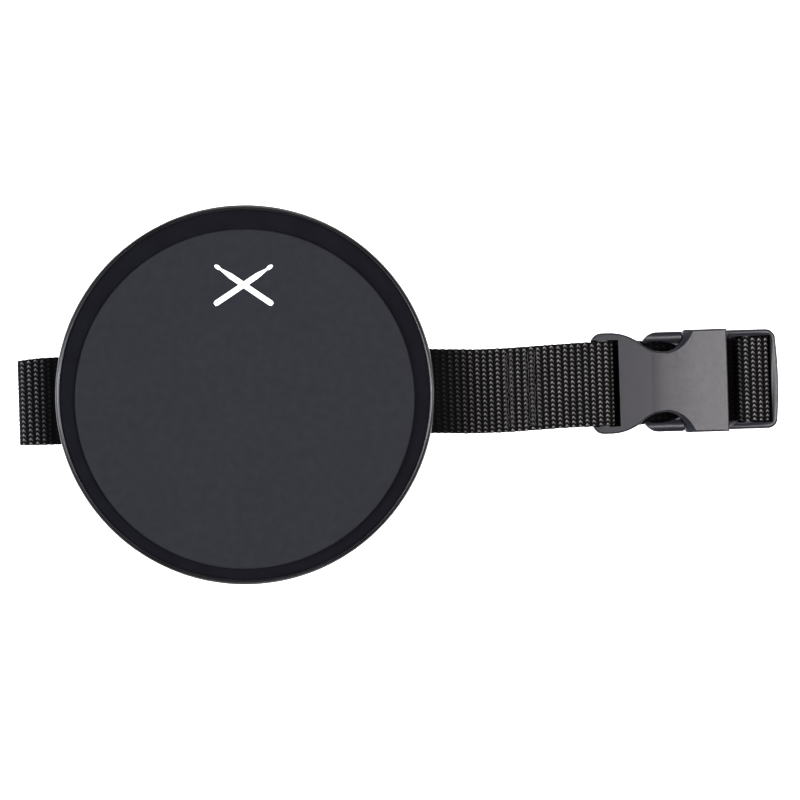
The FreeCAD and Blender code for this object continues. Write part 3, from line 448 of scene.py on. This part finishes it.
def spreadWindowRims(bm):
    # the rounded rim of each side window widens towards the mouth
    for vert in bm.verts:
        p = strapTurn.transposed() @ vert.co
        side, face = math.copysign(1, p.y), math.copysign(1, p.z - buckle["level"])
        reach = Vector((p.x - buckle["along"] - buckle["windowPlace"], side * p.y - buckle["windowSide"]))
        height = abs(p.z - buckle["level"]) - (buckle["thickHalf"] - buckle["rimRound"])
        onRim = height >= -buckle["rimSlack"] and 0 <= reach.x <= buckle["rimReach"]
        if not onRim or reach.y > buckle["rimSide"]:
            continue
        if reach.y > 0:
            out, near, turned = Vector((1, 0)), reach.x - buckle["windowRadius"], 1.0
        else:
            out, near = reach.normalized(), reach.length - buckle["windowRadius"]
            turned = max(0.0, 1 + math.atan2(reach.y, reach.x) / (math.pi / 2))
        if near > buckle["rimBand"]:
            continue
        rise = min(1.0, max(0.0, height / buckle["rimRound"]))
        moved = out * (rise * (buckle["rimStep"] + buckle["rimSpread"] * turned ** buckle["rimPower"]))
        p.x += moved.x
        p.y += side * moved.y
        p.z -= face * (1 - rise) * buckle["rimDrop"] * turned ** 2
        vert.co = strapTurn @ p


def drawWindowsBack(bm):
    # the side windows, with the shoulders and the catches in them, sit nearer to the strap's bar
    for vert in bm.verts:
        u = (strapTurn.transposed() @ vert.co).x - buckle["along"]
        if u < buckle["warpHold"]:
            share = smoothStep(u, buckle["warpStart"], buckle["warpFull"])
        else:
            share = 1 - smoothStep(u, buckle["warpHold"], buckle["warpEnd"])
        vert.co -= strapTurn @ Vector((buckle["windowShift"] * share, 0, 0))


def easeSlope(bm):
    # the two faces bend smoothly where their slope ends
    slope = (buckle["thickHalf"] - buckle["thinHalf"]) / buckle["slopeEnd"]
    count = round(2 * buckle["blend"] / buckle["stations"])
    for i in range(count + 1):
        u = buckle["slopeEnd"] - buckle["blend"] + i * buckle["stations"]
        bmesh.ops.bisect_plane(bm, geom=bm.verts[:] + bm.edges[:] + bm.faces[:],
                               plane_co=strapTurn @ Vector((buckle["along"] + u, 0, 0)),
                               plane_no=strapTurn @ Vector((1, 0, 0)))
    for vert in bm.verts:
        u = (strapTurn.transposed() @ vert.co).x - buckle["along"] - buckle["slopeEnd"]
        if abs(u) < buckle["blend"]:
            flat = buckle["thickHalf"] + min(u, 0) * slope
            eased = buckle["thickHalf"] - slope * (buckle["blend"] - u) ** 2 / (4 * buckle["blend"])
            vert.co.z = buckle["level"] + (vert.co.z - buckle["level"]) * eased / flat


def shapeSocket(bm):
    leanWalls(bm, *buckle["socketSlot"])
    bmesh.ops.dissolve_limit(bm, angle_limit=math.radians(0.3), verts=bm.verts, edges=bm.edges)
    spreadWindowRims(bm)
    easeSlope(bm)
    drawWindowsBack(bm)


def crownArm(bm):
    # the head of a latch arm is rounded across, so that a finger slides over it
    side = math.copysign(1, sum((strapTurn.transposed() @ vert.co).y for vert in bm.verts))
    count = round(2 * buckle["crownHalf"] / buckle["crownStep"])
    for i in range(count + 1):
        v = side * (buckle["crownMiddle"] - buckle["crownHalf"] + i * buckle["crownStep"])
        bmesh.ops.bisect_plane(bm, geom=bm.verts[:] + bm.edges[:] + bm.faces[:],
                               plane_co=strapTurn @ Vector((0, v, 0)),
                               plane_no=strapTurn @ Vector((0, 1, 0)))
    for vert in bm.verts:
        p = strapTurn.transposed() @ vert.co
        away = (abs(p.y) - buckle["crownMiddle"]) / buckle["crownHalf"]
        if p.x - buckle["along"] < buckle["armCatch"]:
            height = p.z - buckle["level"]
            vert.co.z -= height / buckle["armHalf"] * buckle["crownDrop"] * min(1.0, away * away)
    drawWindowsBack(bm)


def shapePlug(bm):
    leanWalls(bm, *buckle["plugSlot"])


for node, name, body, reshape in (
        ("buckle_socket", "buckleSocket", "strap", shapeSocket),
        ("buckle_plug", "bucklePlug", "plug", shapePlug),
        ("latch_arm_front", "latchArmFront", "latch_arm_front", crownArm),
        ("latch_arm_back", "latchArmBack", "latch_arm_back", crownArm)):
    piece = mergedCopy(node, name, bucklePlastic, body, reshape)
    weighted = piece.modifiers.new("weightedNormals", "WEIGHTED_NORMAL")
    weighted.keep_sharp = True
print("mouldings and screws finished")

# The webbing, with its route along the strap in the XZ plane.
strap = {
    "width": 38 * mm, "thickness": 1.6 * mm, "level": 10.1 * mm, "layerGap": 0.1 * mm,
    "foldReach": 98.2 * mm, "joinUnderPad": -60 * mm, "alongStep": weave["pitch"] / 4, "arcStep": 0.2 * mm,
    "faceSteps": 74, "edgeSteps": 6, "edgeBulge": 0.8, "ribDepth": 0.42 * mm, "beadDepth": 0.3 * mm,
    # how far the strap bows sideways between the rim and the buckle
    "sag": 1.65 * mm, "sagAt": 108 * mm, "sagWidth": 30 * mm,
    # small faults of its edges, and its width and slant at the left fold
    "scallop": 0.18 * mm, "scallopPower": 8, "wobble": 0.12 * mm, "wobbleAlong": 90, "wobbleAcross": 30,
    "fray": 0.008, "frayAlong": 400, "frayUp": 200, "foldTuck": 0.9 * mm, "tuckReach": 7 * mm,
    "leftSpread": 0.035, "spreadStart": 60 * mm, "spreadEnd": 75 * mm,
    # painted shade on the webbing: how dark it is painted, and where from the rim that changes
    "darkestShade": 0.06, "rightShadeStart": -1 * mm, "rightShadeEnd": 26 * mm, "leftShadeStart": 4 * mm,
    "leftShadeEnd": 11 * mm, "buckleShade": 0.1, "buckleShadeStart": 10 * mm, "buckleShadeBelow": 4 * mm,
}
route = {
    # places measured from the rim
    "buckle": 70.7 * mm, "riseStart": 22 * mm, "riseEnd": 28 * mm, "return": 29 * mm, "floorEnd": 2.3 * mm,
    "loadStart": 10 * mm, "tailEnd": 12 * mm,
    # places measured from the socket's end
    "loopStart": -10.4 * mm, "barLeft": 3.6 * mm, "barRight": 9.5 * mm, "plugLeft": 66.5 * mm,
    "plugMiddle": 72 * mm, "plugDive": 79.65 * mm, "diveDrop": 1.2 * mm,
    # bends
    "riseBend": 10 * mm, "loopBend": 20 * mm, "barBend": 8 * mm, "wrap": 3.0 * mm, "floorBend": 12 * mm,
    "climbBend": 4.5 * mm, "crossBend": 9 * mm, "diveBend": 2.2 * mm, "tailBend": 2.8 * mm,
}
padRadius = trayRadius
buckleX = padRadius + route["buckle"]
halfThick = strap["thickness"] / 2
layerStep = strap["thickness"] + strap["layerGap"]
upperLayer = strap["level"] + layerStep / 2
lowerLayer = upperLayer - layerStep
loadLevel = halfThick + layerStep
wrapTop, wrapFoot = buckle["level"] + route["wrap"], buckle["level"] - route["wrap"]
riseStart, riseEnd = padRadius + route["riseStart"], padRadius + route["riseEnd"]
returnEnd, tailEnd = padRadius + route["return"], padRadius + route["tailEnd"]
loopStart, barLeft, barRight = (buckleX + route[name] for name in ("loopStart", "barLeft", "barRight"))
plugLeft, plugMiddle, plugDive = (buckleX + route[name] for name in ("plugLeft", "plugMiddle", "plugDive"))
foldRadius = (strap["level"] - halfThick) / 2
foldEnd = -strap["foldReach"] - foldRadius

upperRoute = [
    (strap["joinUnderPad"], halfThick), (foldEnd, halfThick, foldRadius),
    (foldEnd, strap["level"], foldRadius), (riseStart, strap["level"], route["riseBend"]),
    (riseEnd, upperLayer, route["riseBend"]), (loopStart, upperLayer, route["loopBend"]),
    (barLeft, wrapTop, route["barBend"]), (barRight, wrapTop, route["wrap"]),
    (barRight, wrapFoot, route["wrap"]), (barLeft, wrapFoot, route["barBend"]),
    (loopStart, lowerLayer, route["loopBend"]), (returnEnd, lowerLayer),
]
lowerRoute = [
    (strap["joinUnderPad"], halfThick), (padRadius + route["floorEnd"], halfThick, route["floorBend"]),
    (padRadius + route["loadStart"], loadLevel, route["floorBend"]),
    (plugLeft, loadLevel, route["climbBend"]), (plugLeft, wrapTop, route["wrap"]),
    (plugMiddle, wrapTop, route["crossBend"]),
    (plugDive, buckle["level"] + route["diveDrop"], route["diveBend"]),
    (plugDive, halfThick, route["tailBend"]), (tailEnd, halfThick),
]


def spacedAlong(route, step):
    # even samples of a route, each with its place, its direction and its distance from the start
    lengths = [0.0]
    for a, b in zip(route, route[1:]):
        lengths.append(lengths[-1] + (b - a).length)
    count = round(lengths[-1] / step)
    samples, k = [], 0
    for i in range(count + 1):
        distance = lengths[-1] * i / count
        while k < len(route) - 2 and lengths[k + 1] < distance:
            k += 1
        share = (distance - lengths[k]) / (lengths[k + 1] - lengths[k])
        samples.append([route[k].lerp(route[k + 1], share), Vector((1, 0)), distance])
    for i, sample in enumerate(samples):
        before, after = samples[max(i - 1, 0)][0], samples[min(i + 1, count)][0]
        sample[1] = (after - before).normalized()
    return samples


def strapSection():
    # points round the flat band, as (across, up, edge share), starting at one side of its top face
    bulge = halfThick * strap["edgeBulge"]
    half = strap["width"] / 2 - bulge
    section = []
    for top in (1, -1):
        for i in range(strap["faceSteps"] + 1):
            section.append((top * half * (2 * i / strap["faceSteps"] - 1), top * halfThick, 0.0))
        for i in range(1, strap["edgeSteps"]):
            angle = math.pi * i / strap["edgeSteps"]
            section.append((top * (half + bulge * math.sin(angle)), top * halfThick * math.cos(angle), 1.0))
    return section


def weaveHeight(along, across):
    # V-shaped floats in columns across the strap
    column = along / weave["pitch"]
    part = column - math.floor(column)
    rib = max(0.0, math.cos(math.pi * (part - 0.5) / weave["ribWidth"]))
    drift = weave["drift"] * math.sin(weave["driftTurn"] * math.floor(column))
    lean = 2 * weave["slant"] * abs(part - weave["peak"])
    bead = 0.5 + 0.5 * math.cos(2 * math.pi * (across / weave["stitch"] + lean + drift))
    return rib * (strap["ribDepth"] + strap["beadDepth"] * (bead - 1))


def sideways(x):
    # the strap doesn't lie quite straight between the rim and the buckle
    return -strap["sag"] * math.exp(-((x - strap["sagAt"]) / strap["sagWidth"]) ** 2)


def paintedLightShareAt(x, z):
    # painted shade: the webbing's colour is darkened next to the pad's rim, where the rim's shadow falls,
    # and where it runs deep under the buckle
    right = smoothStep(x, padRadius + strap["rightShadeStart"], padRadius + strap["rightShadeEnd"])
    left = smoothStep(-x, padRadius + strap["leftShadeStart"], padRadius + strap["leftShadeEnd"])
    unshadedShare = strap["darkestShade"] + (1 - strap["darkestShade"]) * (right if x > 0 else left)
    pastBar = x > buckleX + strap["buckleShadeStart"]
    underBuckle = pastBar and z < buckle["level"] - strap["buckleShadeBelow"]
    return strap["buckleShade"] if underBuckle else unshadedShare


def makeWebbingPiece(name, points, seed):
    samples = spacedAlong(roundedRoute(points, strap["arcStep"]), strap["alongStep"])
    section = strapSection()
    around = len(section)
    bm = bmesh.new()
    bmesh.ops.create_grid(bm, x_segments=len(samples) - 1, y_segments=around, size=0.5)
    alongLayer = bm.verts.layers.float.new("along")
    acrossLayer = bm.verts.layers.float.new("across")
    paintedLightLayer = bm.verts.layers.float.new("paintedLightShare")
    lift = halfThick - strap["ribDepth"]
    for vert in bm.verts:
        i = round((vert.co.x + 0.5) * (len(samples) - 1))
        j = round((vert.co.y + 0.5) * around) % around
        place, direction, distance = samples[i]
        across, up, edge = section[j]
        spot = (distance * strap["wobbleAlong"], seed, across * strap["wobbleAcross"])
        wobble = noise.noise(spot) * strap["wobble"]
        share = abs(across) / (strap["width"] / 2)
        notch = 0.5 + 0.5 * math.cos(2 * math.pi * distance / weave["pitch"])
        wobble -= math.copysign(strap["scallop"], across) * share ** strap["scallopPower"] * notch
        fromFold = (place.x - foldEnd) / strap["tuckReach"]
        wobble -= strap["foldTuck"] * max(0.0, across / strap["width"] * 2) * math.exp(-fromFold ** 2)
        relief = 0 if edge else weaveHeight(distance, across)
        level = up / halfThick * (lift + relief)
        spot = (distance * strap["frayAlong"], seed + 5, up * strap["frayUp"])
        spread = 1 + noise.noise(spot) * strap["fray"] * edge
        spread += strap["leftSpread"] * smoothStep(-place.x, strap["spreadStart"], strap["spreadEnd"])
        normal = Vector((-direction.y, direction.x))
        vert[alongLayer] = distance
        vert[acrossLayer] = across
        # painted shade near the rim and under the buckle, stored for the webbing's colour
        vert[paintedLightLayer] = paintedLightShareAt(place.x, place.y)
        vert.co = strapTurn @ Vector((
            place.x + normal.x * level, across * spread + sideways(place.x) + wobble,
            place.y + normal.y * level))
    bmesh.ops.remove_doubles(bm, verts=bm.verts, dist=1e-6)
    bmesh.ops.holes_fill(bm, edges=[e for e in bm.edges if e.is_boundary], sides=0)
    bmesh.ops.recalc_face_normals(bm, faces=bm.faces)
    return finishMesh(bm, name, webbingCloth, None)


upperWebbing = makeWebbingPiece("webbingUpperAndFold", upperRoute, 1.0)
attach(upperWebbing, "strap")
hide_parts("strap_upper_run", "strap_left_fold", "strap_socket_loop")
lowerWebbing = makeWebbingPiece("webbingLowerAndTail", lowerRoute, 7.0)
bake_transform(lowerWebbing)
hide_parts("strap_floor_run", "strap_adjuster_run", "strap_adjuster_wrap", "strap_tail")
print("webbing woven:", len(upperWebbing.data.polygons), len(lowerWebbing.data.polygons), "faces")

# each row of bar tacks is (first line, last line, number of lines), measured from the webbing's end
stitch = {"thread": 0.17 * mm, "rows": ((2.5 * mm, 6.5 * mm, 4), (11.5 * mm, 18 * mm, 5)),
          "inset": 2.2 * mm, "length": 2.6 * mm, "points": 6, "wander": 0.7 * mm, "wanderStep": 0.45,
          "lineSeed": 7.7, "rowSeed": 900, "arch": 0.22 * mm, "sunk": 0.12 * mm, "stagger": 0.37}


def makeStitches():
    curve = bpy.data.curves.new("barTackThread", "CURVE")
    curve.dimensions = "3D"
    curve.bevel_depth = stitch["thread"]
    curve.bevel_resolution = 1
    half = strap["width"] / 2 - stitch["inset"]
    count = round(2 * half / stitch["length"]) * stitch["points"]
    for first, last, lines in stitch["rows"]:
        for side, level in ((1, upperLayer + halfThick), (-1, lowerLayer - halfThick)):
            for line in range(lines):
                x0 = returnEnd + first + (last - first) * (line + 0.5) / lines
                spline = curve.splines.new("POLY")
                spline.points.add(count)
                for i, point in enumerate(spline.points):
                    spot = (i * stitch["wanderStep"], line * stitch["lineSeed"], first * stitch["rowSeed"])
                    x = x0 + stitch["wander"] * noise.noise(spot)
                    y = -half + 2 * half * i / count + sideways(x)
                    lift = abs(math.sin(math.pi * (i / stitch["points"] + stitch["stagger"] * line)))
                    z = level + side * (stitch["arch"] * lift - stitch["sunk"])
                    point.co = (*(strapTurn @ Vector((x, y, z))), 1)
    holder = bpy.data.objects.new("barTackHolder", curve)
    bpy.context.collection.objects.link(holder)
    bpy.context.view_layer.update()
    mesh = bpy.data.meshes.new_from_object(holder)
    bpy.data.objects.remove(holder)
    bm = bmesh.new()
    bm.from_mesh(mesh)
    return finishMesh(bm, "barTackStitches", sewingThread, "strap")


stitches = makeStitches()
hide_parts("bar_tack_stitches")
print("bar tacks sewn")

cushion = {"gap": 0.15 * mm, "under": 0.1 * mm, "radius": 122.76 * mm, "thickness": 3.8 * mm,
           "inset": 1 * mm, "cornerReach": 2 * mm, "alongSteps": 52, "acrossSteps": 26,
           "crown": 0.6, "crownStart": 0.86, "crownPower": 2.2}


def makeCushion(node, name):
    low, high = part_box(node)
    # a flat pad bent round an axis along Y, where the base rests on a leg
    axisZ = high.z + cushion["under"] - cushion["radius"]
    middle = (low.y + high.y) / 2
    halfX = (high.x - low.x) / 2 - cushion["inset"]
    halfY = (high.y - low.y) / 2 - cushion["inset"]
    corner = max(abs(low.y), abs(high.y)) + cushion["cornerReach"]
    bm = bmesh.new()
    bmesh.ops.create_grid(bm, x_segments=cushion["alongSteps"], y_segments=cushion["acrossSteps"], size=1.0)
    faces = bm.faces[:]
    grown = bmesh.ops.extrude_face_region(bm, geom=faces)
    lower = {v for v in grown["geom"] if isinstance(v, bmesh.types.BMVert)}
    for vert in bm.verts:
        u, v = vert.co.x, vert.co.y
        x = u * halfX
        y = middle + v * halfY
        if math.hypot(x, y) > corner:
            y *= math.sqrt(max(corner ** 2 - x * x, 1e-9)) / abs(y)
        edge = max(abs(u), abs(v))
        fall = max(0.0, (edge - cushion["crownStart"]) / (1 - cushion["crownStart"]))
        crown = 1 - cushion["crown"] * fall ** cushion["crownPower"]
        depth = cushion["thickness"] * crown if vert in lower else cushion["gap"]
        radius = cushion["radius"] - depth
        angle = x / cushion["radius"]
        vert.co = (radius * math.sin(angle), y, axisZ + radius * math.cos(angle))
    bmesh.ops.recalc_face_normals(bm, faces=bm.faces)
    piece = finishMesh(bm, name, cushionCloth, "pad", 60)
    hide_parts(node)


makeCushion("cushion_front", "cushionFront")
makeCushion("cushion_back", "cushionBack")
print("cushions made")

# A printed mark on the rubber: a generic pair of crossed drumsticks.
mark = {"centre": (-0.4 * mm, 48.5 * mm), "length": 31 * mm, "width": 2.5 * mm, "tip": 1.9 * mm,
        "tipLength": 3.4 * mm, "butt": 0.62, "buttRun": 1 * mm, "shaftEnd": 0.45, "neck": 0.42,
        "angle": math.radians(34), "ink": 0.03 * mm, "overlap": 0.01 * mm, "sunk": 0.02 * mm}


def makeMark():
    bm = bmesh.new()
    half, thick = mark["length"] / 2, mark["width"] / 2
    outline = [(-half, mark["butt"] * thick), (-half + mark["buttRun"], thick),
               (half * mark["shaftEnd"], thick), (half - mark["tipLength"], mark["neck"] * thick)]
    tipHalf = mark["tipLength"] / 2
    outline += [(half - tipHalf + tipHalf * math.cos(a), mark["tip"] / 2 * math.sin(a))
                for a in [math.radians(180 - 30 * k) for k in range(1, 6)]]
    shape = [Vector((x, y, 0)) for x, y in outline] + [Vector((half, 0, 0))]
    shape += [Vector((x, -y, 0)) for x, y in reversed(outline)]
    top = discHigh.z + mark["ink"]
    for side in (1, -1):
        turn = Matrix.Rotation(mark["angle"] if side > 0 else math.pi - mark["angle"], 3, "Z")
        place = Vector((*mark["centre"], top + (mark["overlap"] if side > 0 else 0)))
        face = bm.faces.new([bm.verts.new(turn @ p + place) for p in shape])
        grown = bmesh.ops.extrude_face_region(bm, geom=[face])
        low = [v for v in grown["geom"] if isinstance(v, bmesh.types.BMVert)]
        for vert in low:
            vert.co.z = discHigh.z - mark["sunk"]
    bmesh.ops.recalc_face_normals(bm, faces=bm.faces)
    return finishMesh(bm, "printedSticks", screenInk, "pad", 30)


printedSticks = makeMark()
print("mark printed")

# Camera, lights and floor.
view = {"place": (68.57 * mm, -2.3 * mm, 1.4), "lens": 139.2}
cameraData = bpy.data.cameras.new("camera")
cameraData.lens = view["lens"]
cameraData.sensor_width = 36
camera = bpy.data.objects.new("camera", cameraData)
camera.location = view["place"]
bpy.context.collection.objects.link(camera)
bpy.context.scene.camera = camera

lights = {
    "highRight": {"place": (0.62, 0.0, 1.3), "size": (0.45, 0.9), "power": 16.5, "colour": "fffaf9"},
    "highLeft": {"place": (-0.9, 0.0, 1.0), "size": (0.45, 0.9), "power": 12, "colour": "eff4ff"},
    "lowRight": {"place": (1.35, 0.05, 0.42), "size": (0.3, 0.8), "power": 4, "colour": "fff6f2"},
    "lowLeft": {"place": (-1.2, 0.05, 0.42), "size": (0.3, 0.8), "power": 3, "colour": "f2f6ff"},
    "lowBack": {"place": (0.07, 1.25, 0.5), "size": (0.9, 0.3), "power": 4, "colour": "fdfdff"},
    "lowFront": {"place": (0.07, -1.25, 0.5), "size": (0.9, 0.3), "power": 3, "colour": "fdfdff"},
}
lampTarget = Vector((80 * mm, 0, 0))
for name, light in lights.items():
    data = bpy.data.lights.new(name, "AREA")
    data.shape = "RECTANGLE"
    data.size, data.size_y = light["size"]
    data.energy = light["power"]
    data.color = toLinear(light["colour"])[:3]
    lamp = bpy.data.objects.new(name, data)
    lamp.location = light["place"]
    aim = lampTarget - lamp.location
    lamp.rotation_euler = aim.to_track_quat("-Z", "Y").to_euler()
    bpy.context.collection.objects.link(lamp)

world = bpy.data.worlds.new("studio")
world.use_nodes = True
world.node_tree.nodes["Background"].inputs["Color"].default_value = toLinear("ffffff")
world.node_tree.nodes["Background"].inputs["Strength"].default_value = 0.16
bpy.context.scene.world = world
bpy.context.scene.view_settings.view_transform = "Standard"
bpy.context.scene.view_settings.look = "High Contrast"

floorMaterial = newMaterial("seamlessPaperWhite", {
    "Base Color": toLinear("fafafa"), "Roughness": 0.9, "Specular IOR Level": 0.1,
    "Emission Color": toLinear("ffffff"), "Emission Strength": 0.75})[0]
bm = bmesh.new()
bmesh.ops.create_grid(bm, x_segments=1, y_segments=1, size=4.0)
floor = finishMesh(bm, "floor", floorMaterial, None)
print("camera, lights and floor set")
